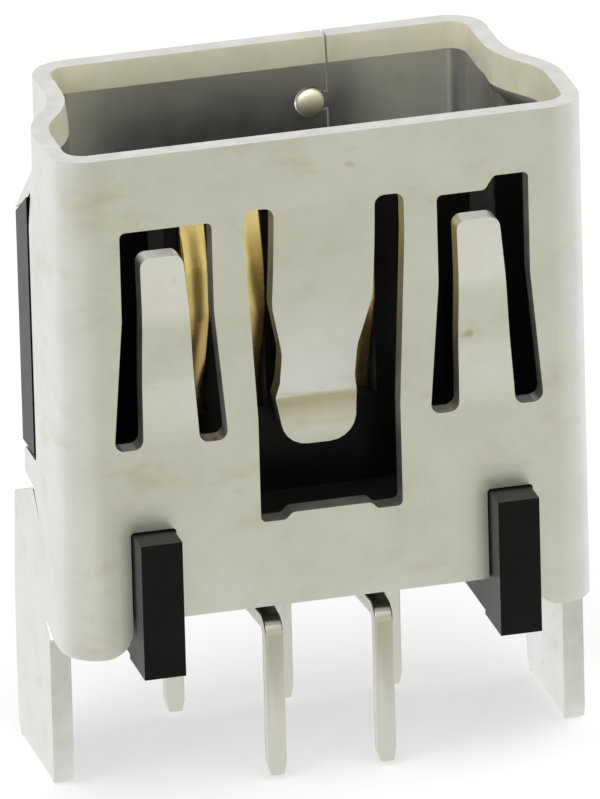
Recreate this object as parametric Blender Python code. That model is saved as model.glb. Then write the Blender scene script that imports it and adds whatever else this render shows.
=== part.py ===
"""Upright five-way mini socket for a circuit board.

A stamped and folded metal shell stands over a black moulding that carries five spring contacts.
The flat wide face with the three spring fingers is the front (-Y), the mouth looks up (+Z), and
the origin lies on the board surface, in the middle of the shell's outline.
All lengths are in metres; MM turns a size in millimetres into metres.
"""

import math

import bmesh
import bpy
from mathutils import Vector

MM = 0.001

# Shell: outline seen from above
SHEET = 0.30 * MM
SHELL_WIDTH = 7.70 * MM
SHELL_DEPTH = 3.95 * MM
CORNER_RADIUS = 0.55 * MM
STEP_DROP = 0.55 * MM
STEP_START = 1.22 * MM
STEP_RADIUS = 1.24 * MM
STEP_ANGLE = math.radians(38)
STEP_FILL = 0.96
WAIST_WIDTH = SHELL_WIDTH - 2 * STEP_DROP

# Shell: heights above the board
RIM_HEIGHT = 7.70 * MM
WALL_FOOT = 0.70 * MM
CORNER_FOOT = 0.18 * MM
CORNER_FOOT_RADIUS = 0.40 * MM

# Shell: soldering legs, flat tabs at both sides, set out a little below the corners
LEG_FRONT = 1.03 * MM
LEG_BACK = 3.05 * MM
LEG_LENGTH = 2.12 * MM
LEG_TIP_FRONT_RADIUS = 0.25 * MM
LEG_TIP_BACK_RADIUS = 0.38 * MM
LEG_TIP_TAPER = 0.12 * MM
LEG_TIP_THINNING = 0.6
LEG_SET_OUT = 0.04 * MM
LEG_SHOULDER_FRONT = 1.93 * MM
LEG_SHOULDER_HIGH = 2.10 * MM
LEG_SHOULDER_LOW = 1.66 * MM

# Shell: opening in each side, the barb under it and the flared lip above it
SIDE_OPENING_FRONT = 1.65 * MM
SIDE_OPENING_BACK = 2.46 * MM
SIDE_OPENING_FOOT = 2.62 * MM
BARB_TIP = 2.34 * MM
BARB_DROP = 0.40 * MM
RELIEF_DEPTH = 0.40 * MM
LIP_HIGH = RIM_HEIGHT - 0.98 * MM
LIP_LOW = RIM_HEIGHT - 1.53 * MM
LIP_FLARE_TOP = RIM_HEIGHT - 0.48 * MM
SLIT = 0.06 * MM

# Shell: corners of the notches and cut-outs
NOTCH_RADIUS = 0.08 * MM
NOTCH_CORNER_RADIUS = 0.05 * MM

# Shell: the two side fingers, rooted at the bottom
FINGER_CENTRE = 0.2975 * SHELL_WIDTH
FINGER_FOOT = 3.30 * MM
FINGER_TIP = RIM_HEIGHT - 1.66 * MM
FINGER_ROOT_WIDTH = 0.82 * MM
FINGER_TIP_WIDTH = 0.62 * MM
FINGER_TIP_RADIUS = 0.14 * MM
FINGER_SLOT_WIDTH = 1.33 * MM
FINGER_SLOT_TOP = RIM_HEIGHT - 1.12 * MM
FINGER_SLOT_SPREAD = 0.16 * MM
FINGER_SLOT_WAIST_SHARE = 0.6
FINGER_ARM_RISE = 0.20 * MM
FINGER_PRESS = 0.11 * MM
FINGER_ROOT_BEND_SHARE = 0.45
FINGER_TIP_PRESS = 0.18 * MM
FINGER_TIP_BEND_SHARE = 0.32

# Shell: the latch finger in the middle, rooted at the top
LATCH_TOP = RIM_HEIGHT - 1.01 * MM
LATCH_HUMP_SHARE = 0.312
LATCH_TIP_SHARE = 0.163
LATCH_DEPTH = 0.73 * MM
LATCH_TIP_DEPTH = 0.62 * MM
LATCH_BOW = 1.6
LATCH_ROOT_WIDTH = 1.46 * MM
LATCH_NECK_WIDTH = 1.09 * MM
LATCH_TIP_WIDTH = 1.18 * MM
LATCH_END_SHARE = 0.84
LATCH_TIP_ROUND_SHARE = 0.65
LATCH_WINDOW_TOP_WIDTH = 2.30 * MM
LATCH_WINDOW_WIDTH = 2.06 * MM
LATCH_WINDOW_FOOT = 2.08 * MM
LATCH_HUMP = LATCH_WINDOW_FOOT + LATCH_HUMP_SHARE * (LATCH_TOP - LATCH_WINDOW_FOOT)
LATCH_TIP = LATCH_WINDOW_FOOT + LATCH_TIP_SHARE * (LATCH_TOP - LATCH_WINDOW_FOOT)
LATCH_WINDOW_WAIST_SHARE = 0.8
LATCH_ROOT_SHARE = 0.5
LATCH_NECK_SHARE = 0.24
LATCH_EAR_SHARE = 0.08
LATCH_RELIEF = 0.10 * MM
LATCH_RELIEF_WIDTH = 0.36 * MM

# Shell: seam in the back wall with its round locking tabs
SEAM_X = 1.04 * MM
SEAM_GAP = 0.03 * MM
LOCK_DROPS = (0.95 * MM, 5.10 * MM)
LOCK_REACH = 0.24 * MM
LOCK_RADIUS = 0.20 * MM
LOCK_NECK = 0.24 * MM

# Moulding
CLEARANCE = 0.03 * MM
BASE_FOOT = 0.60 * MM
BASE_TOP = 1.90 * MM
FOOT_CENTRE = 0.3365 * SHELL_WIDTH
FOOT_WIDTH = 0.60 * MM
FOOT_PROUD = 0.46 * MM
FOOT_TOP = 2.03 * MM
RIB_INSET = 0.04 * MM
BACK_LINER = 0.22 * MM
BACK_LINER_TOP = RIM_HEIGHT - 1.65 * MM
SHOULDER_BACK = 2.42 * MM
TONGUE_FRONT = 1.28 * MM
TONGUE_BACK = 2.20 * MM
TONGUE_TOP = RIM_HEIGHT - 1.07 * MM
TONGUE_MARGIN = 0.22 * MM
TONGUE_CAP = 0.20 * MM
TONGUE_LEAD = 0.18 * MM
GROOVE_FOOT = BASE_TOP + 1.30 * MM

# Contacts
CONTACT_COUNT = 5
PITCH = 0.80 * MM
CONTACT_THICKNESS = 0.22 * MM
SPRING_WIDTH = 0.37 * MM
TAIL_WIDTH = 0.27 * MM
TAIL_TIP_WIDTH = 0.19 * MM
TAIL_LENGTH = 2.04 * MM
TAIL_TAPER = 0.18 * MM
TAIL_SHELF = 0.35 * MM
FRONT_ROW = 0.43 * MM
REAR_ROW = 3.10 * MM
CONTACT_LINE = 1.65 * MM
SPRING_ROOT = GROOVE_FOOT + 0.25 * MM
SPRING_REACH = 0.47 * MM
SPRING_TIP = TONGUE_TOP - 0.33 * MM
SPRING_HUMP_SHARE = 0.45
SPRING_CREST_SHARE = 0.25
SPRING_TIP_SETBACK = 0.26 * MM
TAIL_BEND_SHARE = 0.75
MITRE_LIMIT = 0.7

# Fineness of the mesh, and the shares of a side that a rounded corner may take
ARC_STEP = math.radians(15)
BEND_STEP = math.radians(12)
LOCK_STEPS = 12
STEP_CHAIN_STEPS = 10
SHARED_SIDE = 0.48
FREE_SIDE = 0.98
SHARP_ANGLE = math.radians(30)

# The front wall is notched to fit the moulding's feet
FOOT_INNER = FOOT_CENTRE - FOOT_WIDTH / 2
FOOT_OUTER = FOOT_CENTRE + FOOT_WIDTH / 2
NOTCH_INNER = FOOT_INNER - CLEARANCE
NOTCH_OUTER = FOOT_OUTER + CLEARANCE
NOTCH_TOP = FOOT_TOP + CLEARANCE
FRONT_Y = -SHELL_DEPTH / 2


def clear_scene():
    for item in list(bpy.data.objects):
        bpy.data.objects.remove(item, do_unlink=True)


def make_material(name, colour, metallic, roughness):
    material = bpy.data.materials.new(name)
    material.use_nodes = True
    shader = material.node_tree.nodes["Principled BSDF"]
    shader.inputs["Base Color"].default_value = (*colour, 1.0)
    shader.inputs["Metallic"].default_value = metallic
    shader.inputs["Roughness"].default_value = roughness
    return material


def rounded(corners, closed=True):
    """Polygon through (x, y, radius) corners, each radius drawn as an arc that touches both sides."""
    points = []
    count = len(corners)
    for index, (corner_x, corner_y, radius) in enumerate(corners):
        here = Vector((corner_x, corner_y))
        if radius <= 0 or (not closed and index in (0, count - 1)):
            points.append(here)
            continue
        sides = []
        for x, y, next_radius in (corners[index - 1], corners[(index + 1) % count]):
            side = Vector((x, y)) - here
            sides.append((side, side.length * (SHARED_SIDE if next_radius > 0 else FREE_SIDE)))
        (before, room_before), (after, room_after) = sides
        half = before.angle(after) / 2
        reach = min(radius / math.tan(half), room_before, room_after)
        radius = reach * math.tan(half)
        start = here + before.normalized() * reach
        end = here + after.normalized() * reach
        centre = here + (before.normalized() + after.normalized()).normalized() * (radius / math.sin(half))
        turn = math.pi - 2 * half
        steps = max(1, round(turn / ARC_STEP))
        spoke = start - centre
        sign = 1 if spoke.cross(end - centre) > 0 else -1
        for step in range(steps + 1):
            angle = sign * turn * step / steps
            cosine, sine = math.cos(angle), math.sin(angle)
            points.append(centre + Vector((spoke.x * cosine - spoke.y * sine,
                                           spoke.x * sine + spoke.y * cosine)))
    return points


def object_from_mesh(name, mesh, material):
    thing = bpy.data.objects.new(name, mesh)
    bpy.context.scene.collection.objects.link(thing)
    if material:
        mesh.materials.append(material)
    return thing


def prism(name, outline, low, high, place, material=None):
    """Solid with a flat outline, swept from low to high; place turns (a, b, sweep) into a point."""
    work = bmesh.new()
    ring = [work.verts.new(place(point[0], point[1], low)) for point in outline]
    floor = work.faces.new(ring)
    sweep = Vector(place(0, 0, high)) - Vector(place(0, 0, low))
    grown = bmesh.ops.extrude_face_region(work, geom=[floor])
    moved = [part for part in grown["geom"] if isinstance(part, bmesh.types.BMVert)]
    bmesh.ops.translate(work, verts=moved, vec=sweep)
    bmesh.ops.recalc_face_normals(work, faces=work.faces)
    mesh = bpy.data.meshes.new(name)
    work.to_mesh(mesh)
    work.free()
    return object_from_mesh(name, mesh, material)


def upright(a, b, sweep):
    """Outline seen from above, depth counted from the shell's front face, swept upwards."""
    return (a, FRONT_Y + b, sweep)


def sideways(a, b, sweep):
    """Outline seen from the side as (depth, height), swept along X."""
    return (sweep, FRONT_Y + a, b)


def flat(a, b, sweep):
    """Outline of the flat blank as (length along the strip, height), swept through the sheet."""
    return (a, sweep, b)


def combine(target, tools, operation):
    """Joins the tools to the target or cuts them out of it, and removes them."""
    for tool in tools:
        tool.hide_render = True
        tool.display_type = "WIRE"
        change = target.modifiers.new(tool.name, "BOOLEAN")
        change.operation = operation
        change.solver = "EXACT"
        change.object = tool
    bpy.context.view_layer.update()
    graph = bpy.context.evaluated_depsgraph_get()
    result = bpy.data.meshes.new_from_object(target.evaluated_get(graph))
    target.modifiers.clear()
    target.data = result
    for tool in tools:
        bpy.data.objects.remove(tool, do_unlink=True)


def shade(thing):
    """Rounded faces shaded smooth, true edges kept sharp."""
    thing.data.shade_smooth()
    thing.data.set_sharp_from_angle(angle=SHARP_ANGLE)


# The fold line of the shell: the middle of the sheet, from the front centre round one side to the back


def fold_segments(stepped):
    """Straight and curved stretches of the fold line as (length, turn), a turn to the left being positive."""
    half_sheet = SHEET / 2
    bend = CORNER_RADIUS - half_sheet
    quarter = math.pi / 2
    front = SHELL_WIDTH / 2 - CORNER_RADIUS
    segments = [(front, 0.0), (bend * quarter, quarter)]
    if not stepped:
        segments.append((SHELL_DEPTH, 0.0))
        return segments
    drop = (SHELL_WIDTH - WAIST_WIDTH) / 2
    swing = 1 - math.cos(STEP_ANGLE)
    radius = min(STEP_RADIUS, STEP_FILL * drop / (2 * swing))
    slant = (drop - 2 * radius * swing) / math.sin(STEP_ANGLE)
    advance = 2 * radius * math.sin(STEP_ANGLE) + slant * math.cos(STEP_ANGLE)
    side = STEP_START - CORNER_RADIUS
    waist = SHELL_DEPTH - CORNER_RADIUS - STEP_START - advance
    segments.append((side, 0.0))
    segments.append(((radius - half_sheet) * STEP_ANGLE, STEP_ANGLE))
    segments.append((slant, 0.0))
    segments.append(((radius + half_sheet) * STEP_ANGLE, -STEP_ANGLE))
    segments.append((waist, 0.0))
    segments.append((bend * quarter, quarter))
    segments.append((SHELL_WIDTH, 0.0))
    return segments


def fold_marks(stepped):
    """Lengths along the fold line at which its stretches begin."""
    marks = [0.0]
    for length, _ in fold_segments(stepped):
        marks.append(marks[-1] + length)
    return marks


def fold_point(along, stepped):
    """Point and outward normal of the fold line at a length from the front centre."""
    place = Vector((0.0, SHEET / 2))
    heading = 0.0
    left = abs(along)
    for length, turn in fold_segments(stepped):
        part = min(left, length)
        if turn and length > 0:
            curve = length / turn
            swept = turn * part / length
            middle = place + Vector((-math.sin(heading), math.cos(heading))) * curve
            heading += swept
            place = middle + Vector((math.sin(heading), -math.cos(heading))) * curve
        else:
            place = place + Vector((math.cos(heading), math.sin(heading))) * part
        left -= part
        if left <= 0:
            break
    outward = Vector((math.sin(heading), -math.cos(heading)))
    if along < 0:
        place.x, outward.x = -place.x, -outward.x
    return place, outward


def along_side(depth):
    """Length along the unstepped fold line at which the side wall is this far behind the front."""
    return fold_marks(False)[2] + depth - CORNER_RADIUS


BACK_CENTRE = fold_marks(True)[8] + WAIST_WIDTH / 2 - CORNER_RADIUS
LIP_END = along_side(SIDE_OPENING_BACK)
FLANGE_START = LIP_END + SLIT


def lock_heights():
    return sorted(RIM_HEIGHT - drop for drop in LOCK_DROPS)


def lock_outline(edge, height, outward, spare):
    """Corner points of one round locking tab on an upright edge; spare widens it for its socket."""
    radius = LOCK_RADIUS + spare
    neck = LOCK_NECK / 2 + spare
    centre = edge + outward * LOCK_REACH
    start = math.pi - math.asin(neck / radius)
    points = [(edge, height - neck, 0)]
    for step in range(LOCK_STEPS + 1):
        angle = -start + 2 * start * step / LOCK_STEPS
        points.append((centre + outward * radius * math.cos(angle), height + radius * math.sin(angle), 0))
    points.append((edge, height + neck, 0))
    return points


def side_outline():
    """Lower outline of the blank at one side, from the middle of the front wall to the back wall."""
    tip = -LEG_LENGTH
    leg_front = along_side(LEG_FRONT)
    leg_back = along_side(LEG_BACK)
    opening = along_side(SIDE_OPENING_FRONT)
    barb = along_side(BARB_TIP)
    shoulder = along_side(LEG_SHOULDER_FRONT)
    flange_low = max(FLANGE_START, leg_back + SHEET)
    return [
        (NOTCH_INNER, WALL_FOOT, 0),
        (NOTCH_INNER, NOTCH_TOP, NOTCH_CORNER_RADIUS),
        (NOTCH_OUTER, NOTCH_TOP, NOTCH_CORNER_RADIUS),
        (NOTCH_OUTER, CORNER_FOOT, CORNER_FOOT_RADIUS),
        (leg_front, CORNER_FOOT, NOTCH_RADIUS),
        (leg_front, tip, LEG_TIP_FRONT_RADIUS),
        (leg_back, tip, LEG_TIP_BACK_RADIUS),
        (leg_back, LEG_SHOULDER_LOW, NOTCH_RADIUS),
        (shoulder, LEG_SHOULDER_HIGH, 0),
        (shoulder - RELIEF_DEPTH, LEG_SHOULDER_HIGH - RELIEF_DEPTH, 0),
        (shoulder - SLIT, LEG_SHOULDER_HIGH + SLIT, NOTCH_RADIUS),
        (barb, SIDE_OPENING_FOOT - BARB_DROP, NOTCH_RADIUS),
        (barb, SIDE_OPENING_FOOT, NOTCH_RADIUS),
        (opening, SIDE_OPENING_FOOT, NOTCH_RADIUS),
        (opening, LIP_HIGH, NOTCH_RADIUS),
        (LIP_END, LIP_LOW, 0),
        (LIP_END, LIP_FLARE_TOP, 0),
        (FLANGE_START, LIP_FLARE_TOP, 0),
        (FLANGE_START, SIDE_OPENING_FOOT, NOTCH_RADIUS),
        (flange_low, SIDE_OPENING_FOOT, NOTCH_RADIUS),
        (flange_low, WALL_FOOT, NOTCH_RADIUS),
    ]


def blank_outline():
    """Whole outer outline of the flat blank, with the locking tabs on one end and sockets on the other."""
    right = side_outline()
    left = [(-x, z, radius) for x, z, radius in reversed(right)]
    tab_edge = BACK_CENTRE - SEAM_X
    socket_edge = -(BACK_CENTRE + SEAM_X - SEAM_GAP)
    outline = left + right + [(tab_edge, WALL_FOOT, 0)]
    for height in lock_heights():
        outline += lock_outline(tab_edge, height, 1, 0)
    outline += [(tab_edge, RIM_HEIGHT, 0), (socket_edge, RIM_HEIGHT, 0)]
    for height in reversed(lock_heights()):
        outline += reversed(lock_outline(socket_edge, height, 1, SEAM_GAP))
    outline.append((socket_edge, WALL_FOOT, 0))
    return rounded(outline)


def finger_slot(side, arm_rise):
    """Slot round one side finger: an upside-down U whose legs reach down beside the finger."""
    middle = FINGER_CENTRE
    half_tip, half_root, half_slot = FINGER_TIP_WIDTH / 2, FINGER_ROOT_WIDTH / 2, FINGER_SLOT_WIDTH / 2
    waist = FINGER_FOOT + FINGER_SLOT_WAIST_SHARE * (FINGER_SLOT_TOP - FINGER_FOOT)
    arm_foot = half_slot + FINGER_SLOT_SPREAD
    corners = [
        (half_root, FINGER_FOOT, FINGER_TIP_RADIUS),
        (arm_foot, FINGER_FOOT, FINGER_TIP_RADIUS),
        (half_slot, waist, CORNER_RADIUS),
        (half_slot, FINGER_SLOT_TOP + arm_rise, NOTCH_RADIUS),
        (half_tip - FINGER_TIP_RADIUS, FINGER_SLOT_TOP + arm_rise, NOTCH_RADIUS),
        (half_tip - 2 * FINGER_TIP_RADIUS, FINGER_SLOT_TOP, NOTCH_RADIUS),
        (-half_slot, FINGER_SLOT_TOP, NOTCH_RADIUS),
        (-half_slot, waist, CORNER_RADIUS),
        (-arm_foot, FINGER_FOOT, FINGER_TIP_RADIUS),
        (-half_root, FINGER_FOOT, FINGER_TIP_RADIUS),
        (-half_tip, FINGER_TIP, FINGER_TIP_RADIUS),
        (half_tip, FINGER_TIP, FINGER_TIP_RADIUS),
    ]
    return rounded([(side * (middle + x), z, radius) for x, z, radius in corners])


def latch_slot():
    """Window round the latch finger, with a small relief notch in each lower corner."""
    top, window = LATCH_WINDOW_TOP_WIDTH / 2, LATCH_WINDOW_WIDTH / 2
    root, neck, tip = LATCH_ROOT_WIDTH / 2, LATCH_NECK_WIDTH / 2, LATCH_TIP_WIDTH / 2
    relief = window - LATCH_RELIEF_WIDTH
    length = LATCH_TOP - LATCH_HUMP
    half = [
        (relief - LATCH_RELIEF, LATCH_WINDOW_FOOT, NOTCH_RADIUS),
        (relief, LATCH_WINDOW_FOOT - LATCH_RELIEF, NOTCH_RADIUS),
        (window, LATCH_WINDOW_FOOT - LATCH_RELIEF, NOTCH_RADIUS),
        (window, LATCH_HUMP, CORNER_RADIUS),
        (top, LATCH_HUMP + LATCH_WINDOW_WAIST_SHARE * length, CORNER_RADIUS),
        (top, LATCH_TOP, FINGER_TIP_RADIUS),
        (root, LATCH_TOP, FINGER_TIP_RADIUS),
        (root, LATCH_HUMP + LATCH_ROOT_SHARE * length, CORNER_RADIUS),
        (neck, LATCH_HUMP + LATCH_NECK_SHARE * length, CORNER_RADIUS),
        (neck, LATCH_HUMP + LATCH_EAR_SHARE * length, NOTCH_RADIUS),
        (tip, LATCH_HUMP, NOTCH_RADIUS),
        (LATCH_END_SHARE * tip, LATCH_TIP, LATCH_TIP_ROUND_SHARE * tip),
    ]
    mirrored = [(-x, z, radius) for x, z, radius in reversed(half)]
    return rounded(half + mirrored)


def smooth(value):
    value = min(max(value, 0.0), 1.0)
    return value * value * (3 - 2 * value)


def latch_press(height):
    """How far the latch finger is bent inwards: bowed down to its hump, then bent back to an upright tip."""
    if height >= LATCH_HUMP:
        share = (LATCH_TOP - height) / (LATCH_TOP - LATCH_HUMP)
        return LATCH_DEPTH * max(share, 0.0) ** LATCH_BOW
    bend_end = (LATCH_HUMP + LATCH_TIP) / 2
    share = min((LATCH_HUMP - height) / (LATCH_HUMP - bend_end), 1.0)
    return LATCH_DEPTH + (LATCH_TIP_DEPTH - LATCH_DEPTH) * share


def finger_press(height):
    """How far a side finger is bent inwards: a little at its root, more steeply near its tip."""
    length = FINGER_TIP - FINGER_FOOT
    rise = smooth((height - FINGER_FOOT) / (FINGER_ROOT_BEND_SHARE * length))
    bend = FINGER_TIP_BEND_SHARE * length
    tip = max(height - (FINGER_TIP - bend), 0.0) / bend
    return FINGER_PRESS * rise + FINGER_TIP_PRESS * min(tip, 1.0)


def press_at(along, height):
    """Inward bend of the sheet, which only the three fingers have."""
    across = abs(along)
    if across < LATCH_ROOT_WIDTH / 2 + SLIT and LATCH_TIP - SLIT < height < LATCH_TOP:
        return latch_press(height)
    if abs(across - FINGER_CENTRE) < FINGER_ROOT_WIDTH / 2 + SLIT and FINGER_FOOT < height < FINGER_TIP + SLIT:
        return finger_press(height)
    return 0.0


def flare_at(along, height):
    """0 where the side wall follows the stepped outline, 1 where it runs straight back."""
    across = abs(along)
    behind_opening = across > (LIP_END + FLANGE_START) / 2 and height > SIDE_OPENING_FOOT - SLIT
    behind_leg = across > along_side(LEG_BACK) + SHEET / 2
    if behind_opening or behind_leg:
        return 0.0
    share = (LIP_FLARE_TOP - height) / (LIP_FLARE_TOP - LIP_LOW)
    return min(max(share, 0.0), 1.0)


def set_out_at(along, height):
    """How far the legs stand out from the side wall at a height."""
    leg = along_side(LEG_FRONT) - SLIT < abs(along) < along_side(LEG_BACK) + SLIT
    return LEG_SET_OUT * smooth((LEG_SHOULDER_LOW - height) / LEG_SHOULDER_LOW) if leg else 0.0


def folded(along, through, height):
    """Place of a point of the flat blank once the sheet is folded and its fingers are bent."""
    stepped_place, stepped_out = fold_point(along, True)
    straight_place, straight_out = fold_point(along, False)
    flare = flare_at(along, height)
    place = stepped_place.lerp(straight_place, flare)
    outward = stepped_out.lerp(straight_out, flare).normalized()
    if height < LEG_TIP_TAPER / 2 - LEG_LENGTH:
        through *= LEG_TIP_THINNING
    point = place + outward * (through - press_at(along, height) + set_out_at(along, height))
    return Vector((point.x, FRONT_Y + point.y, height))


def cut_lines(work, positions, axis):
    """Splits the blank along straight lines, so that it can bend there."""
    for position in positions:
        parts = work.verts[:] + work.edges[:] + work.faces[:]
        origin = Vector((0, 0, 0))
        origin[axis] = position
        normal = Vector((0, 0, 0))
        normal[axis] = 1
        bmesh.ops.bisect_plane(work, geom=parts, dist=1e-9, plane_co=origin, plane_no=normal)


def bend_positions():
    """Lengths along the blank at which it needs a line to bend on."""
    marks = fold_marks(True)
    positions = []
    for index, (length, turn) in enumerate(fold_segments(True)):
        if turn:
            steps = max(2, math.ceil(abs(turn) / BEND_STEP))
            positions += [marks[index] + length * step / steps for step in range(steps + 1)]
    return sorted(positions + [-position for position in positions])


def height_positions():
    """Heights at which the fingers, the flared lip and the legs need a line to bend on."""
    spans = ((LATCH_TIP, LATCH_HUMP, 2), (LATCH_HUMP, LATCH_TOP, 9), (FINGER_FOOT, FINGER_TIP, 8),
             (LIP_LOW, LIP_FLARE_TOP, 4), (0.0, LEG_SHOULDER_LOW, 4))
    positions = [LEG_TIP_TAPER - LEG_LENGTH]
    for low, high, steps in spans:
        positions += [low + (high - low) * step / steps for step in range(steps + 1)]
    kept = [LATCH_HUMP]
    for position in sorted(positions):
        if min(abs(position - other) for other in kept) > SLIT:
            kept.append(position)
    return sorted(kept)


def build_shell(material):
    half = SHEET / 2
    shell = prism("shell", blank_outline(), -half, half, flat, material)
    cutters = [
        prism("cut_finger_left", finger_slot(-1, 0.0), -SHEET, SHEET, flat),
        prism("cut_finger_right", finger_slot(1, FINGER_ARM_RISE), -SHEET, SHEET, flat),
        prism("cut_latch", latch_slot(), -SHEET, SHEET, flat),
    ]
    combine(shell, cutters, "DIFFERENCE")
    work = bmesh.new()
    work.from_mesh(shell.data)
    cut_lines(work, bend_positions(), 0)
    cut_lines(work, height_positions(), 2)
    bmesh.ops.triangulate(work, faces=work.faces)
    for vertex in work.verts:
        vertex.co = folded(vertex.co.x, -vertex.co.y, vertex.co.z)
    bmesh.ops.recalc_face_normals(work, faces=work.faces)
    work.to_mesh(shell.data)
    work.free()
    shade(shell)
    return shell


# The moulding


def mirrored_outline(half):
    """Closed outline from its right half, listed from the front centre line to the back."""
    return rounded(half + [(-x, y, radius) for x, y, radius in reversed(half)])


def base_outline():
    wide = SHELL_WIDTH / 2 - SHEET - CLEARANCE
    narrow = WAIST_WIDTH / 2 - SHEET - CLEARANCE
    front = SHEET + CLEARANCE
    back = SHELL_DEPTH - SHEET - CLEARANCE
    bend = CORNER_RADIUS - SHEET
    return mirrored_outline([
        (wide, front, bend),
        (wide, LEG_BACK - SHEET, 0),
        (narrow, LEG_BACK, 0),
        (narrow, back, bend),
    ])


def liner_outline():
    narrow = WAIST_WIDTH / 2 - SHEET - CLEARANCE
    back = SHELL_DEPTH - SHEET - CLEARANCE
    bend = CORNER_RADIUS - SHEET
    return mirrored_outline([(narrow, back - BACK_LINER, 0), (narrow, back, bend)])


def step_chain():
    """Inner face of the stepped sheet behind the front edge of the side opening, as (x, depth)."""
    front = SIDE_OPENING_FRONT + 2 * CLEARANCE
    start = along_side(SIDE_OPENING_FRONT)
    chain = []
    for step in range(STEP_CHAIN_STEPS + 1):
        place, outward = fold_point(start + (LIP_END - start) * step / STEP_CHAIN_STEPS, True)
        inner = place - outward * (SHEET / 2)
        if inner.y > front:
            chain.append((inner.x, inner.y))
    return chain


def shoulder_outline(side):
    """The moulding's shoulder seen from above: its inner face continues the shell's stepped side."""
    inner = step_chain()
    place, outward = fold_point(FLANGE_START, True)
    flange_face = (place + outward * (SHEET / 2)).x + 2 * CLEARANCE
    outer = SHELL_WIDTH / 2
    back = max(SHOULDER_BACK, inner[-1][1] + SLIT)
    points = inner + [(flange_face, inner[-1][1]), (flange_face, back), (outer, back), (outer, inner[0][1])]
    return [(side * x, y) for x, y in points]


def build_shoulder(side):
    """Block that fills one side opening of the shell, sloping under the flared lip."""
    foot = SIDE_OPENING_FOOT + 2 * CLEARANCE
    block = prism("shoulder", shoulder_outline(side), foot, LIP_HIGH, upright)
    slope_high = LIP_HIGH - 2 * CLEARANCE
    fall = (LIP_LOW - LIP_HIGH) / (SIDE_OPENING_BACK - SIDE_OPENING_FRONT)
    wedge = [
        (0, slope_high - SIDE_OPENING_FRONT * fall),
        (SHELL_DEPTH, slope_high + (SHELL_DEPTH - SIDE_OPENING_FRONT) * fall),
        (SHELL_DEPTH, 2 * RIM_HEIGHT), (0, 2 * RIM_HEIGHT),
    ]
    cutter = prism("cut_slope", wedge, -SHELL_WIDTH, SHELL_WIDTH, sideways)
    combine(block, [cutter], "DIFFERENCE")
    return block


def build_shoulder_stem(side):
    """The shoulder's root inside the shell's side, where it grows out of the base."""
    wide = SHELL_WIDTH / 2 - SHEET - CLEARANCE
    chain = step_chain()
    points = [(side * x, y) for x, y in chain]
    points += [(side * wide, chain[-1][1]), (side * wide, chain[0][1])]
    return prism("shoulder_stem", points, BASE_TOP - SHEET, LIP_LOW - SHEET, upright)


def box(name, low, high):
    """Plain block between two corners, depth counted from the shell's front face."""
    outline = [(low[0], low[1]), (high[0], low[1]), (high[0], high[1]), (low[0], high[1])]
    return prism(name, outline, low[2], high[2], upright)


def contact_positions():
    middle = (CONTACT_COUNT - 1) / 2
    return [(index - middle) * PITCH for index in range(CONTACT_COUNT)]


def tongue_half_width():
    return contact_positions()[-1] + SPRING_WIDTH / 2 + TONGUE_MARGIN


def build_tongue():
    half = tongue_half_width()
    shoulder = TONGUE_TOP - TONGUE_LEAD
    profile = [
        (TONGUE_FRONT, BASE_TOP - SHEET), (TONGUE_BACK, BASE_TOP - SHEET), (TONGUE_BACK, shoulder),
        (TONGUE_BACK - TONGUE_LEAD, TONGUE_TOP), (TONGUE_FRONT + TONGUE_LEAD, TONGUE_TOP),
        (TONGUE_FRONT, shoulder),
    ]
    return prism("tongue", profile, -half, half, sideways)


def build_foot(side):
    inner, outer = sorted((side * FOOT_INNER, side * FOOT_OUTER))
    return box("foot", (inner, -FOOT_PROUD, 0), (outer, SHEET + 3 * CLEARANCE, FOOT_TOP))


def build_rib(side):
    inner, outer = sorted((side * (FOOT_INNER + RIB_INSET), side * (FOOT_OUTER - RIB_INSET)))
    back = SHELL_DEPTH - SHEET - 2 * CLEARANCE
    return box("rib", (inner, SHEET + CLEARANCE, 0), (outer, back, BASE_FOOT + SHEET))


def contact_channels():
    """Ways for the contacts: closed through the base and the tongue's foot, then open to the front."""
    half = SPRING_WIDTH / 2 + CLEARANCE
    reach = CONTACT_THICKNESS / 2 + CLEARANCE
    tools = []
    for x in contact_positions():
        tools.append(box("cut_channel", (x - half, CONTACT_LINE - reach, -SHEET),
                         (x + half, CONTACT_LINE + reach, GROOVE_FOOT + SHEET)))
        tools.append(box("cut_groove", (x - half, SHEET, GROOVE_FOOT),
                         (x + half, CONTACT_LINE + reach, TONGUE_TOP - TONGUE_CAP)))
    return tools


def build_housing(material):
    housing = prism("housing", base_outline(), BASE_FOOT, BASE_TOP, upright, material)
    parts = [prism("liner", liner_outline(), BASE_TOP - SHEET, BACK_LINER_TOP, upright), build_tongue()]
    for side in (-1, 1):
        parts += [build_shoulder(side), build_shoulder_stem(side), build_foot(side), build_rib(side)]
    combine(housing, parts, "UNION")
    combine(housing, contact_channels(), "DIFFERENCE")
    shade(housing)
    return housing


# The contacts


def contact_path(row):
    """Centre line of one contact as (depth, height), from its spring tip to the end of its tail."""
    shelf = TAIL_SHELF - CONTACT_THICKNESS / 2
    bend = TAIL_BEND_SHARE * CONTACT_THICKNESS
    front = CONTACT_LINE - SPRING_REACH
    length = SPRING_TIP - SPRING_ROOT
    hump = SPRING_ROOT + SPRING_HUMP_SHARE * length
    corners = [
        (front + SPRING_TIP_SETBACK, SPRING_TIP, 0),
        (front, hump + SPRING_CREST_SHARE * length, 3 * CONTACT_THICKNESS),
        (front, hump, CONTACT_THICKNESS),
        (CONTACT_LINE, SPRING_ROOT, 2 * CONTACT_THICKNESS),
        (CONTACT_LINE, shelf, bend),
        (row, shelf, bend),
        (row, -TAIL_LENGTH + TAIL_TAPER, 0),
        (row, -TAIL_LENGTH, 0),
    ]
    return rounded(corners, closed=False)


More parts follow.
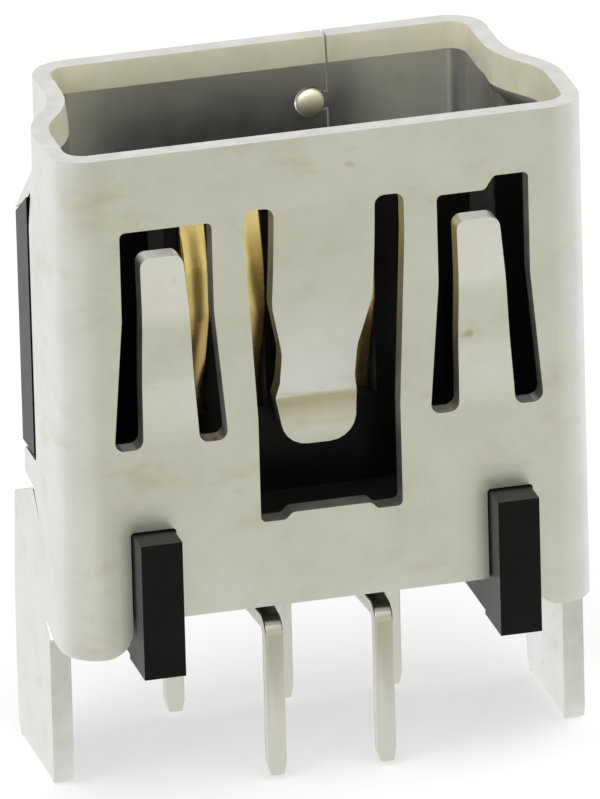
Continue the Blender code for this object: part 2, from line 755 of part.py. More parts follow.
def width_at(place):
    """Width of the strip at a point of its centre line."""
    if place.y <= -TAIL_LENGTH + TAIL_TAPER / 2:
        return TAIL_TIP_WIDTH
    if place.y < TAIL_SHELF and abs(place.x - CONTACT_LINE) > CONTACT_THICKNESS:
        return TAIL_WIDTH
    return SPRING_WIDTH


def build_contact(index, x, row, material):
    """One strip, swept along its centre line round its own origin, then moved to its place in the row."""
    path = contact_path(row)
    work = bmesh.new()
    half = CONTACT_THICKNESS / 2
    face = None
    for station, place in enumerate(path):
        ahead = (path[min(station + 1, len(path) - 1)] - place).normalized()
        behind = (place - path[max(station - 1, 0)]).normalized()
        heading = (ahead + behind).normalized()
        lean = max(heading.dot(ahead if ahead.length else behind), MITRE_LIMIT)
        across = Vector((-heading.y, heading.x)) * (half / lean)
        wide = width_at(place) / 2
        corners = [(-wide, -1), (wide, -1), (wide, 1), (-wide, 1)]
        ring = [(side, place.x - CONTACT_LINE + across.x * level, place.y + across.y * level)
                for side, level in corners]
        if face is None:
            face = work.faces.new([work.verts.new(point) for point in ring])
            continue
        grown = bmesh.ops.extrude_face_region(work, geom=[face, *face.edges])
        face = next(part for part in grown["geom"] if isinstance(part, bmesh.types.BMFace))
        for loop, point in zip(face.loops, ring):
            loop.vert.co = point
    bmesh.ops.recalc_face_normals(work, faces=work.faces)
    name = f"contact_{index + 1}"
    mesh = bpy.data.meshes.new(name)
    work.to_mesh(mesh)
    work.free()
    contact = object_from_mesh(name, mesh, material)
    contact.location = (x, FRONT_Y + CONTACT_LINE, 0)
    shade(contact)
    return contact


def main():
    clear_scene()
    tin = make_material("nickel_sheet", (0.55, 0.55, 0.47), 1.0, 0.33)
    black = make_material("black_moulding", (0.012, 0.012, 0.013), 0.0, 0.45)
    root = bpy.data.objects.new("socket_root", None)
    bpy.context.scene.collection.objects.link(root)
    pieces = [build_shell(tin), build_housing(black)]
    for index, x in enumerate(contact_positions()):
        row = REAR_ROW if index % 2 == 0 else FRONT_ROW
        gold = make_material(f"gold_strip_{index + 1}", (0.80, 0.55, 0.20), 1.0, 0.28)
        pieces.append(build_contact(index, x, row, gold))
    for piece in pieces:
        piece.parent = root


main()
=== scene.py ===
# %% [markdown]
# # An upright five-contact mini socket
#
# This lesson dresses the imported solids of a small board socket: a folded tin-plated shell, a black moulding
# inside it, and five gold-faced springs with tinned tails. The frame already holds every solid at its real
# size and place, so the lesson is about edges, finishes, light and the camera.

import math

import bmesh
import bpy
import numpy as np
from mathutils import Matrix, Vector
from mathutils.bvhtree import BVHTree


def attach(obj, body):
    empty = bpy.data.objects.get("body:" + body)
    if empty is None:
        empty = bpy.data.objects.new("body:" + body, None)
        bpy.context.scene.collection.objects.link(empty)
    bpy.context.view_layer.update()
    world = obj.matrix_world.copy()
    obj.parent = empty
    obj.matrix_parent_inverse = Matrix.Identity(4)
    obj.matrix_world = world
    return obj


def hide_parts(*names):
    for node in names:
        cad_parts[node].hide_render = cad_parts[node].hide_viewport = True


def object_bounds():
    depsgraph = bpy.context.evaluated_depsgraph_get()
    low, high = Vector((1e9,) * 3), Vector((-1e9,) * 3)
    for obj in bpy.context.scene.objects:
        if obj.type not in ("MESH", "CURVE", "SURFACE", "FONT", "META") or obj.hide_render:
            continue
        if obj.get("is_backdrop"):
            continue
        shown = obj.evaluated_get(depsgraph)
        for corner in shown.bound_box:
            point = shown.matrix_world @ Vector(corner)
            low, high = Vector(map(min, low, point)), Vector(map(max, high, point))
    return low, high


MM = 0.001

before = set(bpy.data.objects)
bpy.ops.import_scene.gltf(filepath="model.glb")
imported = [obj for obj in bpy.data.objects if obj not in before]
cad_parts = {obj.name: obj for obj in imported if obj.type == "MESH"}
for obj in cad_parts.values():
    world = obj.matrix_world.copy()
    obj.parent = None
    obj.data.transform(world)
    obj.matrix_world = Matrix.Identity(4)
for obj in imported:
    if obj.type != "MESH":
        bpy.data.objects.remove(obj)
cad_low, cad_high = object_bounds()
print("solids:", sorted(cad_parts))
print("box in mm:", [round(side / MM, 2) for side in cad_high - cad_low])

# %% [markdown]
# ## The camera
#
# The socket was photographed from its wide side, a little to its left and from above, with a long lens that
# flattens it nearly to a parallel view. A camera can be aimed by hand or with a constraint. Here its three
# axes are worked out from three angles, because the small roll of the photograph then has a number of its
# own.

# %% Place the camera
AZIMUTH, ELEVATION, ROLL = -14.23, 22.07, -1.56
DISTANCE = 300.0 * MM
AIM = (0.0, 0.025 * MM, 4.0 * MM)
OFFSET_RIGHT, OFFSET_UP = -0.11 * MM, 0.98 * MM
FOCAL_PIXELS = 21289.5
LONG_SIDE_PIXELS = 799
SENSOR = 36.0
CLIP_NEAR, CLIP_FAR = 10 * MM, 10.0


def camera_axes(azimuth, elevation, roll):
    """The camera's right, up and backward directions, one to a row."""
    a, e, r = np.radians([azimuth, elevation, roll])
    back = np.array([np.sin(a) * np.cos(e), -np.cos(a) * np.cos(e), np.sin(e)])
    right = np.array([np.cos(a), np.sin(a), 0.0])
    up = np.cross(back, right)
    return np.stack([np.cos(r) * right + np.sin(r) * up, np.cos(r) * up - np.sin(r) * right, back])


axes = camera_axes(AZIMUTH, ELEVATION, ROLL)
stand = np.array(AIM) + np.array([-OFFSET_RIGHT, -OFFSET_UP, DISTANCE]) @ axes
lens = bpy.data.cameras.new("camera")
lens.sensor_width = SENSOR
lens.lens = FOCAL_PIXELS * SENSOR / LONG_SIDE_PIXELS
lens.clip_start, lens.clip_end = CLIP_NEAR, CLIP_FAR
camera = bpy.data.objects.new("camera", lens)
bpy.context.scene.collection.objects.link(camera)
camera.matrix_world = Matrix(np.vstack([np.column_stack([axes.T, stand]), [0, 0, 0, 1]]).tolist())
bpy.context.scene.camera = camera
print("camera at, in mm:", [round(float(c) / MM, 1) for c in stand])

# %% [markdown]
# ## A copy of a solid
#
# A frame mesh is loose triangles that already point the right way, and the frame's own objects stay as they
# are. So each solid is dressed on a copy, which takes its place: the copy's triangles are joined into one
# skin, and the ones that lie flat beside each other are dissolved into the large faces that a person would
# draw.

# %% Copy a solid and join its skin
MERGE = 0.001 * MM
FLAT = math.radians(0.4)


def select_only(piece):
    bpy.ops.object.select_all(action="DESELECT")
    piece.select_set(True)
    bpy.context.view_layer.objects.active = piece


def merged_copy(node, name):
    """A copy of a frame node whose triangles are joined into one skin."""
    piece = bpy.data.objects.new(name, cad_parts[node].data.copy())
    bpy.context.scene.collection.objects.link(piece)
    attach(piece, "root")
    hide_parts(node)
    select_only(piece)
    bpy.ops.object.mode_set(mode="EDIT")
    bpy.ops.mesh.select_all(action="SELECT")
    bpy.ops.mesh.remove_doubles(threshold=MERGE)
    bpy.ops.mesh.dissolve_limited(angle_limit=FLAT)
    bpy.ops.mesh.customdata_custom_splitnormals_clear()
    bpy.ops.object.mode_set(mode="OBJECT")
    return piece


housing = merged_copy("housing", "housing_moulding")
contacts = [merged_copy(f"contact_{number}", f"contact_strip_{number}") for number in range(1, 6)]
print("copied:", housing.name, *[strip.name for strip in contacts])

# %% [markdown]
# ## Broken edges
#
# No edge of a real stamping or moulding is perfectly sharp: the press rolls the sheet's edge over, and the
# mould leaves a small radius. Those slivers catch the light and are what makes a small part look solid.
# They could be faked in the shader, but a Bevel modifier gives true faces that also show from behind.
#
# Smooth shading then bends the light over the large flats too, as if they were cushions. A Weighted Normal
# modifier is the usual cure, but it tilts a corner where a flat meets many small faces. So each corner here
# is given the mean direction of the large faces round it. Near is everything within SPREAD of the face, and
# large is at least a given share of the largest; a share of nought counts every face alike, which suits a
# spring that flows from bend to bend.

# %% Round the edges and settle the corners
SPREAD = math.radians(46)
BEVEL_FROM = math.radians(40)
MOULDED_EDGE, STRIP_EDGE = 0.02 * MM, 0.03 * MM


def settle_normals(piece, share):
    """Each corner faces as the largest faces round it do, so that flats stay flat beside their edges."""
    mesh = piece.data
    around = {}
    for face in mesh.polygons:
        for corner in face.vertices:
            around.setdefault(corner, []).append(face)
    directions = []
    for face in mesh.polygons:
        for corner in face.vertices:
            near = [other for other in around[corner] if other.normal.angle(face.normal, 0) < SPREAD]
            largest = max(other.area for other in near)
            total = sum((other.normal for other in near if other.area >= share * largest), Vector())
            directions.append(total.normalized())
    mesh.normals_split_custom_set(directions)


def break_edges(piece, width, share=0.5):
    """Rounds every edge that turns by more than BEVEL_FROM, and applies the modifier."""
    select_only(piece)
    bevel = piece.modifiers.new("edge", "BEVEL")
    bevel.width = width
    bevel.segments = 2
    bevel.limit_method = "ANGLE"
    bevel.angle_limit = BEVEL_FROM
    bevel.use_clamp_overlap = True
    bevel.miter_outer = "MITER_SHARP"
    bpy.ops.object.modifier_apply(modifier=bevel.name)
    bpy.ops.object.shade_smooth()
    settle_normals(piece, share)
    print(piece.name, len(piece.data.polygons), "faces")


break_edges(housing, MOULDED_EDGE)
for strip in contacts:
    break_edges(strip, STRIP_EDGE, share=0.0)

# %% [markdown]
# ## The mouth of the shell
#
# The press leans the inside of the mouth outwards over its last few tenths of a millimetre, so that a plug
# finds its way in. From above it shows as a light band round the dark inside, where light falls in over the
# front rim. It could be a chamfer of the rim's edge, but that would thin the rim itself. So a level cut is
# made below the rim, and only the inner skin above it is leaned back a little and given a pale finish of its
# own, which paints that light on.

# %% Cut the sheet level below the rim
LEAD_DEPTH = 0.39 * MM

shell = merged_copy("shell", "shell_sheet")
shell.data.materials.clear()
for finish_name in ("tinned sheet", "cut edge", "lead-in, painted light"):
    shell.data.materials.append(bpy.data.materials.new(finish_name))
rim = max(corner.co.z for corner in shell.data.vertices)
bpy.ops.object.mode_set(mode="EDIT")
bpy.ops.mesh.select_all(action="SELECT")
bpy.ops.mesh.bisect(plane_co=(0, 0, rim - LEAD_DEPTH), plane_no=(0, 0, 1))
bpy.ops.object.mode_set(mode="OBJECT")
print("rim at, in mm:", round(rim / MM, 3), "cut at:", round((rim - LEAD_DEPTH) / MM, 3))

# %% [markdown]
# ## The lead-in
#
# The inner skin has to be told from the outer one. A list of faces would break as soon as a size changed,
# so each upright face above the cut is asked where it is: a point just off an inner face sees metal on
# every side, and one just off an outer face doesn't. The corners of the inner faces that lie on the rim are
# then moved outwards.

# %% Lean the lead-in back
LEAD_LEAN = 0.045 * MM
JUST_OFF = 0.01 * MM
UPRIGHT = 0.1
SIGHT_LINES, SIGHT = 12, 20 * MM


def inside_the_mouth(walls, point):
    """Whether level rays from the point meet metal on all sides."""
    turns = np.radians(np.arange(0, 360, 360 / SIGHT_LINES))
    return all(walls.ray_cast(point, (np.cos(t), np.sin(t), 0), SIGHT)[0] is not None for t in turns)


sheet = bmesh.new()
sheet.from_mesh(shell.data)
sheet.normal_update()
walls = BVHTree.FromBMesh(sheet)
lead_in = [face for face in sheet.faces
           if face.calc_center_median().z > rim - LEAD_DEPTH and abs(face.normal.z) < UPRIGHT
           and inside_the_mouth(walls, face.calc_center_median() + face.normal * JUST_OFF)]
outward = {}
for face in lead_in:
    for corner in face.verts:
        if corner.co.z > rim - JUST_OFF:
            outward[corner] = outward.get(corner, Vector()) - face.normal
for corner, away in outward.items():
    corner.co += away.normalized() * LEAD_LEAN
lead_in_places = {tuple(face.calc_center_median()) for face in lead_in}
sheet.to_mesh(shell.data)
sheet.free()
print("faces of the lead-in:", len(lead_in), "corners leaned back:", len(outward))

# %% [markdown]
# ## Rolled faces and cut faces
#
# The strip is plated before it is stamped, so its two rolled faces shine evenly, while every cut through
# its thickness is a torn, duller face. The faces are told apart by walking over the sheet without crossing
# a sharp edge: the two largest regions are the rolled faces, and all the others are cuts. This is done
# before the edges are broken, because a rounded edge has no sharp line left to stop at.

# %% Mark the cut faces of the shell
SHARP = math.radians(50)
SHEET_EDGE = 0.02 * MM
ROLLED, CUT, PAINTED_LIGHT = 0, 1, 2


def mark_cuts(piece, painted_light_places):
    """Every face outside the two largest smooth regions gets the second slot, a lead-in face the third, which
    paints light.
    """
    skin = bmesh.new()
    skin.from_mesh(piece.data)
    skin.faces.ensure_lookup_table()
    region = {}
    areas = []
    for first in skin.faces:
        if first in region:
            continue
        region[first] = len(areas)
        area, waiting = 0.0, [first]
        while waiting:
            face = waiting.pop()
            area += face.calc_area()
            for edge in face.edges:
                for other in edge.link_faces:
                    if other not in region and edge.calc_face_angle(math.pi) < SHARP:
                        region[other] = len(areas)
                        waiting.append(other)
        areas.append(area)
    rolled = sorted(range(len(areas)), key=lambda number: areas[number])[-2:]
    for face, number in region.items():
        face.material_index = ROLLED if number in rolled else CUT
        if tuple(face.calc_center_median()) in painted_light_places:
            face.material_index = PAINTED_LIGHT
    skin.to_mesh(piece.data)
    skin.free()
    print(piece.name, "has", len(areas) - 2, "cut faces beside its two rolled ones")


mark_cuts(shell, lead_in_places)
break_edges(shell, SHEET_EDGE)

# %% [markdown]
# ## The staked knob
#
# The seam is held by a round knob of the sheet in a round socket, and the press stakes the knob so that its
# middle stands a little proud inside. A ball squashed nearly flat and cut in half at the wall makes that
# swelling; it could be pushed out of the wall's own mesh, but the wall is one large flat face there.

# %% Swell the knob of the lock
KNOB = (0.765 * MM, 1.675 * MM, rim - 0.965 * MM)
KNOB_RADIUS, KNOB_PROUD = 0.205 * MM, 0.10 * MM
SUNK_SHARE = 0.02
KNOB_SMOOTH = math.radians(50)

bpy.ops.mesh.primitive_uv_sphere_add(segments=32, ring_count=16, radius=1.0, location=(0, 0, 0))
knob = bpy.context.object
knob.name = "lock_knob"
bpy.ops.object.mode_set(mode="EDIT")
bpy.ops.mesh.select_all(action="SELECT")
bpy.ops.mesh.bisect(plane_co=(0, SUNK_SHARE, 0), plane_no=(0, 1, 0), clear_outer=True, use_fill=True)
bpy.ops.object.mode_set(mode="OBJECT")
knob.data.transform(Matrix.Translation(KNOB) @ Matrix.Diagonal((KNOB_RADIUS, KNOB_PROUD, KNOB_RADIUS, 1)))
bpy.ops.object.shade_smooth_by_angle(angle=KNOB_SMOOTH)
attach(knob, "root")
print(knob.name, len(knob.data.polygons), "faces")

# %% [markdown]
# ## Node helpers
#
# Every finish below is a small node tree. It could be wired by hand in the shader editor; a few helpers say
# the same in one line each. The first three make a material, add a node with its values, and join two
# sockets.

# %% Helpers that add and join nodes


def new_finish(name):
    """The material of that name, its tree and its main shader."""
    material = bpy.data.materials.get(name) or bpy.data.materials.new(name)
    material.use_nodes = True
    tree = material.node_tree
    return material, tree, tree.nodes["Principled BSDF"]


def add(tree, kind, values=None, **settings):
    node = tree.nodes.new(kind)
    for key, value in settings.items():
        setattr(node, key, value)
    for key, value in (values or {}).items():
        node.inputs[key].default_value = value
    return node


def join(tree, source, output, target, socket):
    tree.links.new(source.outputs[output], target.inputs[socket])


# %% [markdown]
# ## Patterns
#
# Stains and grain could be painted, but then every piece would have to be unwrapped first. Noise on Object
# coordinates needs no unwrapping, and it is fixed to the part and turns with it. A colour ramp makes a stain
# of the noise, a Map Range makes a roughness of it, and a Bump node makes the finest grain, which is far too
# small to model.

# %% Helpers for patterns
GRAIN_HEIGHT = 0.004 * MM


def grain(tree, scale, detail=3.0, roughness=0.55, stretch=(1, 1, 1)):
    """Noise on the piece's own metres, where scale counts waves to the millimetre."""
    where = add(tree, "ShaderNodeTexCoord")
    spread = add(tree, "ShaderNodeMapping", {"Scale": tuple(s * scale / MM for s in stretch)})
    noise = add(tree, "ShaderNodeTexNoise", {"Scale": 1.0, "Detail": detail, "Roughness": roughness})
    join(tree, where, "Object", spread, "Vector")
    join(tree, spread, "Vector", noise, "Vector")
    return noise


def ramp(tree, source, output, stops):
    """A colour ramp whose stops are (position, colour)."""
    node = add(tree, "ShaderNodeValToRGB")
    elements = node.color_ramp.elements
    while len(elements) < len(stops):
        elements.new(0.5)
    for element, (position, colour) in zip(elements, stops):
        element.position = position
        element.color = (*colour, 1.0)
    join(tree, source, output, node, "Fac")
    return node


def level(tree, source, output, low, high, from_low=0.0, from_high=1.0):
    """Carries the span from_low to from_high over to the span low to high."""
    node = add(tree, "ShaderNodeMapRange", {
        "From Min": from_low, "From Max": from_high, "To Min": low, "To Max": high})
    join(tree, source, output, node, "Value")
    return node


def tint(tree, noise, shader, stops):
    """Colours the piece by the noise."""
    join(tree, ramp(tree, noise, "Fac", stops), "Color", shader, "Base Color")


def roughen(tree, noise, shader, low, high):
    """Lets the roughness wander between low and high with the noise."""
    join(tree, level(tree, noise, "Fac", low, high), "Result", shader, "Roughness")


def relief(tree, noise, shader, strength):
    """Tilts the light on the piece as a skin of GRAIN_HEIGHT would."""
    bump = add(tree, "ShaderNodeBump", {"Strength": strength, "Distance": GRAIN_HEIGHT})
    join(tree, noise, "Fac", bump, "Height")
    join(tree, bump, "Normal", shader, "Normal")


# %% [markdown]
# ## Masks
#
# The painted shade under the latch's fold has a place of its own, and so has the tone of a mirrored
# ground. Such a place could be painted as a picture and laid on the part. A product of slopes over height,
# width and depth needs no picture and can be read in millimetres.

# %% Helpers for masks


def combine(tree, how, first, first_output, second, second_output):
    """One number made of two, by MULTIPLY or MAXIMUM."""
    node = add(tree, "ShaderNodeMath", operation=how)
    join(tree, first, first_output, node, 0)
    join(tree, second, second_output, node, 1)
    return node


def product(tree, first, first_output, second, second_output):
    return combine(tree, "MULTIPLY", first, first_output, second, second_output)


def band(tree, source, output, rises, falls):
    """Nought, then one, then nought again, with a slope over each of the two spans."""
    rise = level(tree, source, output, 0.0, 1.0, *rises)
    fall = level(tree, source, output, 1.0, 0.0, *falls)
    return product(tree, rise, "Result", fall, "Result")


def place(tree):
    """The point on the piece, taken apart into X, Y and Z."""
    where = add(tree, "ShaderNodeTexCoord")
    apart = add(tree, "ShaderNodeSeparateXYZ")
    join(tree, where, "Object", apart, "Vector")
    return apart


def layered(tree, under, over):
    """Multiplies two colours, given as output sockets, and returns the result's socket."""
    node = add(tree, "ShaderNodeMix", {0: 1.0}, data_type="RGBA", blend_type="MULTIPLY")
    tree.links.new(under, node.inputs[6])
    tree.links.new(over, node.inputs[7])
    return node.outputs[2]


# %% [markdown]
# ## Tin over steel
#
# The shell is stamped from strip that was plated before it was cut, so its flats are an even satin grey
# with faint cloudy patches, a few brownish specks and drawn-out smears from handling. Each of these could
# be painted on a texture; here each is its own noise, and the layers are multiplied, as stains lie on each
# other.

# %% The plating and its stains
CLEAN = (1.0, 1.0, 1.0)

tin, tree, shader = new_finish("tinned sheet")
shader.inputs["Metallic"].default_value = 1.0
clouds = ramp(tree, grain(tree, 0.9, detail=6.0, roughness=0.65), "Fac", [
    (0.30, (0.74, 0.735, 0.69)), (0.50, (0.79, 0.79, 0.76)), (0.70, (0.83, 0.83, 0.815))])
specks = ramp(tree, grain(tree, 1.5, detail=2.0, roughness=0.5), "Fac", [
    (0.22, (0.70, 0.65, 0.52)), (0.27, CLEAN)])
smears = ramp(tree, grain(tree, 0.8, detail=4.0, roughness=0.6, stretch=(1, 1, 2.0)), "Fac", [
    (0.28, (0.91, 0.90, 0.84)), (0.42, CLEAN)])
stained = layered(tree, clouds.outputs["Color"], specks.outputs["Color"])
stained = layered(tree, stained, smears.outputs["Color"])
roughen(tree, grain(tree, 2.4, detail=4.0), shader, 0.33, 0.45)
relief(tree, grain(tree, 16.0, detail=2.0), shader, strength=0.15)
print(tin.name, "has", len(tree.nodes), "nodes so far")

# %% [markdown]
# ## Painted shade under the fold of the latch
#
# The latch in the middle of the front wall folds back near its tip, and the face just below the fold lies
# in the shade of the overhang above it. That shade is painted on as a tan colour, with a sharp upper edge at
# the fold, fading away below it. It could be a second material on faces of its own, but the fade would need
# faces too, so a mask over height, width and depth picks the place out in the same material.

# %% Paint the shade under the fold of the latch
FOLD_SHADE_HEIGHT = (3.05 * MM, 3.42 * MM), (3.50 * MM, 3.55 * MM)
FOLD_SHADE_WIDTH = (-0.72 * MM, -0.70 * MM), (0.70 * MM, 0.72 * MM)
FOLD_SHADE_DEPTH = (-1.67 * MM, -1.65 * MM), (-0.80 * MM, -0.78 * MM)
FOLD_SHADE_TONE = (0.62, 0.57, 0.42)

apart = place(tree)
fold_shade = product(tree, band(tree, apart, "Z", *FOLD_SHADE_HEIGHT), "Value",
               band(tree, apart, "X", *FOLD_SHADE_WIDTH), "Value")
fold_shade = product(tree, fold_shade, "Value", band(tree, apart, "Y", *FOLD_SHADE_DEPTH), "Value")
# A tan colour under the fold: painted shade of the overhang above it.
fold_shade_ramp = ramp(tree, fold_shade, "Value", [(0.0, CLEAN), (1.0, FOLD_SHADE_TONE)])
tree.links.new(layered(tree, stained, fold_shade_ramp.outputs["Color"]), shader.inputs["Base Color"])
print(tin.name, "has", len(tree.nodes), "nodes")

# %% [markdown]
# ## Cut edges
#
# A cut through the strip shows bare steel that the die has smeared with a little tin. It is greyer than the
# plating and no smoother. It could keep the finish of the flats, but then the thickness of the sheet would
# hardly show; so it gets a tree of the same kind with darker stops and a coarser grain.

# %% The finish of the cuts
cut, tree, shader = new_finish("cut edge")
shader.inputs["Metallic"].default_value = 1.0
shade = grain(tree, 3.0, detail=4.0)
tint(tree, shade, shader, [(0.3, (0.64, 0.635, 0.60)), (0.7, (0.74, 0.74, 0.71))])
roughen(tree, shade, shader, 0.36, 0.48)
relief(tree, grain(tree, 9.0), shader, strength=0.1)
print(cut.name, "has", len(tree.nodes), "nodes")

# %% [markdown]
# ## Painted light on the lead-in and the knob
#
# The lit band of the lead-in and the lit side of the staked knob are painted on as a pale, creamy colour.
# It scatters light nearly as paper does, which a high roughness alone doesn't give. So it is made partly
# non-metallic: the lead-in mostly, and the knob only a little, because the knob still shows a bright side
# and a dark one from its own dome.

# %% The finish of the lead-in and the knob


def painted_light_finish(name, bareness):
    """A pale finish that paints light on, where bareness is the share that still mirrors as metal."""
    finish, tree, shader = new_finish(name)
    shader.inputs["Metallic"].default_value = bareness
    shade = grain(tree, 2.0, detail=5.0, roughness=0.65)
    tint(tree, shade, shader, [(0.3, (0.86, 0.83, 0.63)), (0.7, (0.95, 0.92, 0.75))])
    roughen(tree, shade, shader, 0.5, 0.62)
    relief(tree, grain(tree, 9.0, roughness=0.6, stretch=(1, 1, 0.3)), shader, strength=0.2)
    print(name, "has", len(tree.nodes), "nodes")
    return finish


# The pale colour paints light on the lead-in's band and on the knob's lit side.
painted_light_finish("lead-in, painted light", 0.35)
knob.data.materials.append(painted_light_finish("knob, painted light", 0.9))

# %% [markdown]
# ## Black nylon
#
# The moulding is nylon filled with soot: nearly black, with a faint haze where the flow of the plastic met
# the mould, and a fine spark-eroded skin. Plain black would do from afar, but it says nothing of what the
# piece is made of. The shine is lowered, because soot takes it away, and a little sheen lifts the faces
# that are seen at a low angle, as the fine skin does on the real one.

# %% The moulding's finish
nylon, tree, shader = new_finish("black nylon")
haze = grain(tree, 1.5, detail=4.0)
tint(tree, haze, shader, [(0.3, (0.003, 0.003, 0.003)), (0.7, (0.006, 0.006, 0.006))])
roughen(tree, haze, shader, 0.30, 0.42)
shader.inputs["Specular IOR Level"].default_value = 0.15
shader.inputs["Sheen Weight"].default_value = 0.12
shader.inputs["Sheen Roughness"].default_value = 0.35
relief(tree, grain(tree, 22.0), shader, strength=0.3)
housing.data.materials.clear()
housing.data.materials.append(nylon)
print(nylon.name, "has", len(tree.nodes), "nodes")

# %% [markdown]
# ## Gold springs and tinned tails
#
# Each contact is one strip, dipped twice: its tail in tin, for the solder, and its spring in gold, which
# doesn't tarnish under the plug. Between the two the strip is painted brown, darker towards the bottom:
# painted shade of the lower spring, deep in its slot. Three materials would need cuts in the mesh where one
# ends and the next begins. The finishes differ in colour only, so one ramp over the height of the strip
# stands for both baths and the painted shade between them.

# %% The contacts' finish
RAMP_TOP = 8.0 * MM
TAIL_TIN, GOLD = (0.62, 0.61, 0.54), (1.0, 0.79, 0.32)
SHADED_BROWN_LOW, SHADED_BROWN_HIGH = (0.42, 0.32, 0.16), (0.72, 0.48, 0.19)

strip_finish, tree, shader = new_finish("gold spring, tinned tail")
shader.inputs["Metallic"].default_value = 0.9
height = level(tree, place(tree), "Z", 0.0, 1.0, 0.0, RAMP_TOP)
# Brown below the gold, darker towards the bottom: painted shade of the lower spring in its slot.
plating = ramp(tree, height, "Result", [
    (0.12, TAIL_TIN), (0.22, SHADED_BROWN_LOW), (0.585, SHADED_BROWN_HIGH), (0.605, GOLD)])
join(tree, plating, "Color", shader, "Base Color")
roughen(tree, grain(tree, 3.0), shader, 0.20, 0.32)
for strip in contacts:
    strip.data.materials.clear()
    strip.data.materials.append(strip_finish)
print(strip_finish.name, "has", len(tree.nodes), "nodes")

# %% [markdown]
# ## The white sheet
#
# The part stands on its legs on a plain white sheet of paper. The paper is matt and keeps a soft shadow.
# Stronger lamps would make it white but would bleach the tin as well, so a light of its own, which only the
# camera sees, lifts it to white.

# %% Lay the sheet
SHEET_SIDE = 4.0
OWN_LIGHT = 0.52

bpy.ops.mesh.primitive_plane_add(size=SHEET_SIDE, location=(0, 0, cad_low.z))
floor = bpy.context.object
floor.name = "floor"
floor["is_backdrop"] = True
paper, tree, shader = new_finish("white sheet")
shader.inputs["Roughness"].default_value = 0.9
shader.inputs["Specular IOR Level"].default_value = 0.1
tint(tree, grain(tree, 0.4), shader, [(0.3, (0.61, 0.61, 0.61)), (0.7, (0.64, 0.64, 0.64))])
path = add(tree, "ShaderNodeLightPath")
glow = add(tree, "ShaderNodeEmission", {"Color": (1, 1, 1, 1)})
join(tree, level(tree, path, "Is Camera Ray", 0.0, OWN_LIGHT), "Result", glow, "Strength")
lit = add(tree, "ShaderNodeAddShader")
tree.links.new(shader.outputs[0], lit.inputs[0])
tree.links.new(glow.outputs[0], lit.inputs[1])
floor.data.materials.append(paper)
print("sheet at, in mm:", round(cad_low.z / MM, 3))

# %% [markdown]
# ## The sheet as the metal sees it
#
# A flat of plated sheet shows what lies in front of it, so the olive tone of the front wall comes less from
# its own colour than from a duller, olive ground that it mirrors. The ground starts a few millimetres from
# the feet, ends a few centimetres away, and is paler behind, and on the near left, where the rounded corner
# of the shell mirrors it. Olive card could be laid there, but the camera would see it too. So only glossy
# rays see the tone, and it is never brighter than white.

# %% Tone the mirrored sheet
GROUND = (4 * MM, 8 * MM), (50 * MM, 110 * MM)
GROUND_TURN, GROUND_FADES = -3, (-0.3, 0.98)
PALE_PLACE, PALE_SHARE, PALE_FADES = (-8 * MM, -10 * MM, 0), 0.55, (2 * MM, 7.5 * MM)
WHITE = (1.0, 1.0, 1.0)


def ahead(tree, source, output, degrees, fades):
    """A mask of what lies in front, or so many degrees to the right of it, with a slope over fades."""
    turn = math.radians(degrees)
    front = (math.sin(turn), -math.cos(turn), 0)
    node = add(tree, "ShaderNodeVectorMath", {1: front}, operation="DOT_PRODUCT")
    join(tree, source, output, node, 0)
    return level(tree, node, "Value", 0.0, 1.0, *fades)


where = add(tree, "ShaderNodeTexCoord")
heading = add(tree, "ShaderNodeVectorMath", operation="NORMALIZE")
span = add(tree, "ShaderNodeVectorMath", operation="LENGTH")
beside = add(tree, "ShaderNodeVectorMath", {1: PALE_PLACE}, operation="DISTANCE")
for node in (heading, span, beside):
    join(tree, where, "Object", node, 0)
olive = product(tree, band(tree, span, "Value", *GROUND), "Value",
                ahead(tree, heading, "Vector", GROUND_TURN, GROUND_FADES), "Result")
olive = product(tree, olive, "Value",
                level(tree, beside, "Value", PALE_SHARE, 1.0, *PALE_FADES), "Result")
tone = ramp(tree, olive, "Value", [
    (0.0, WHITE), (0.3, (0.81, 0.81, 0.79)), (0.75, (0.72, 0.72, 0.64)), (1.0, (0.575, 0.585, 0.44))])
mirrored = add(tree, "ShaderNodeEmission")
join(tree, tone, "Color", mirrored, "Color")
choice = add(tree, "ShaderNodeMixShader")
join(tree, path, "Is Glossy Ray", choice, "Fac")
tree.links.new(lit.outputs[0], choice.inputs[1])
tree.links.new(mirrored.outputs[0], choice.inputs[2])
tree.links.new(choice.outputs[0], tree.nodes["Material Output"].inputs["Surface"])
print(paper.name, "has", len(tree.nodes), "nodes")

# %% [markdown]
# ## The room
#
# The room is white to the camera, to glass and to the metal, and half as bright as a lamp, so that the
# plating mirrors a bright room while the plastic stays dark. In front, just above the horizon, the metal
# also sees a slightly dimmer and warmer wall, which the upper halves of the pressed fingers show. A picture
# of a real room could be wrapped round the part instead, but a white room with one wall needs no picture.

# %% Light the room
ROOM_AS_LAMP, ROOM_AS_SEEN = 0.5, 1.0
WALL = (0.02, 0.12), (0.36, 0.62)
WALL_TURN, WALL_FADES = 14, (0.3, 0.9)
WALL_TONE = (0.72, 0.70, 0.57)

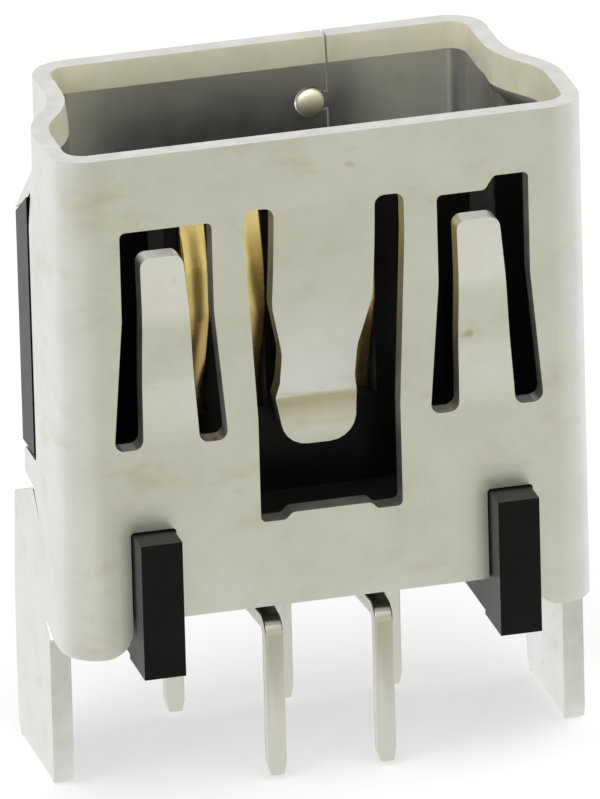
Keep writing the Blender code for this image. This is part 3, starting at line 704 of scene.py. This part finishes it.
room = bpy.data.worlds.new("white room")
bpy.context.scene.world = room
room.use_nodes = True
tree = room.node_tree
backdrop = tree.nodes["Background"]
path = add(tree, "ShaderNodeLightPath")
seen = combine(tree, "MAXIMUM", path, "Is Camera Ray", path, "Is Glossy Ray")
seen = combine(tree, "MAXIMUM", seen, "Value", path, "Is Transmission Ray")
join(tree, level(tree, seen, "Value", ROOM_AS_LAMP, ROOM_AS_SEEN), "Result", backdrop, "Strength")
where = add(tree, "ShaderNodeTexCoord")
height = add(tree, "ShaderNodeSeparateXYZ")
join(tree, where, "Generated", height, "Vector")
wall = product(tree, band(tree, height, "Z", *WALL), "Value",
               ahead(tree, where, "Generated", WALL_TURN, WALL_FADES), "Result")
wall = product(tree, wall, "Value", path, "Is Glossy Ray")
tone = ramp(tree, wall, "Value", [(0.0, WHITE), (1.0, WALL_TONE)])
join(tree, tone, "Color", backdrop, "Color")
print(room.name, "has", len(tree.nodes), "nodes")

# %% [markdown]
# ## The lamps
#
# Three soft boxes stand round the part as in a small photo tent: one to the left, one to the right and
# behind, and a large one above the front. Suns would give hard shadows, which the tent hasn't; area lamps
# near the part give the soft shadow under it. They are sized and placed in millimetres, because the part is
# under a centimetre tall.

# %% Set the lamps
LIT_POINT = (0, 0, 3.0)


def lamp(name, spot_mm, side_mm, watts):
    """A square soft box that faces the part."""
    light = bpy.data.lights.new(name, "AREA")
    light.shape = "SQUARE"
    light.size = side_mm * MM
    light.energy = watts
    box = bpy.data.objects.new(name, light)
    bpy.context.scene.collection.objects.link(box)
    box.location = np.array(spot_mm) * MM
    aim = np.array(LIT_POINT) * MM - np.array(spot_mm) * MM
    box.rotation_euler = Vector(aim).to_track_quat("-Z", "Y").to_euler()
    print(name, "at, in mm:", spot_mm)


lamp("lamp left", (-120, -60, 90), 90, 0.05)
lamp("lamp right", (130, 50, 60), 80, 0.03)
lamp("lamp above", (0, -50, 150), 130, 0.08)
bpy.context.scene.view_settings.view_transform = "Standard"

# %% [markdown]
# ## Sizes
#
# The dressed part has to stay in the solids' own box, because what was measured on the solids is what a
# board or a plug will meet. Both boxes are measured, and the difference is printed: broken edges and a
# knob inside the mouth should add nothing.

# %% Measure and finish
shown_low, shown_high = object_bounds()
grown = (shown_high - cad_high) - (shown_low - cad_low)
print("grown by, in mm:", [round(float(growth) / MM, 3) for growth in grown])
